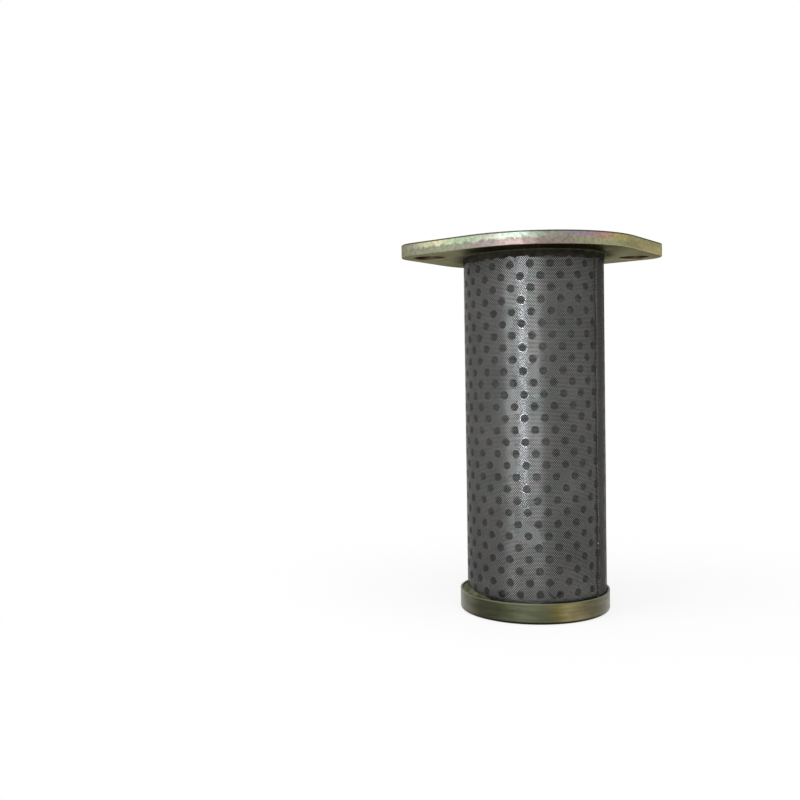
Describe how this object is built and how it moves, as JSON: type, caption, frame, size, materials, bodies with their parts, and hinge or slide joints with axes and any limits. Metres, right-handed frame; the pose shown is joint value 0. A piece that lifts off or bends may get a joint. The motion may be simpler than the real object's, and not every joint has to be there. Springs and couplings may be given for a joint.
{
  "type": "suction strainer",
  "caption": "Cylindrical suction strainer: perforated tube in woven wire cloth, closed by a two-bolt mounting flange and open through a pressed end ring.",
  "frame": {"origin": "middle of the two bolt holes, on the flange's underside", "axes": "+Z along the tube from its open end ring to the flange, +X along the flange's long side through both bolt holes"},
  "size_m": [0.095, 0.0766, 0.1307],
  "materials": {
    "flange_steel": "yellow chromated zinc on a blanked steel plate, iridescent at the edge",
    "core_steel": "bright rolled perforated sheet",
    "wire_cloth": "plain woven steel wire cloth, dull grey",
    "ring_steel": "yellow chromated zinc on pressed sheet, olive",
    "resin": "greenish grey set resin"
  },
  "bodies": {
    "root": {"mounting_flange": "flange_steel", "perforated_core": "core_steel", "mesh_sleeve": "wire_cloth", "end_ring": "ring_steel", "flange_bond": "resin", "ring_potting": "resin"}
  },
  "joints": []
}
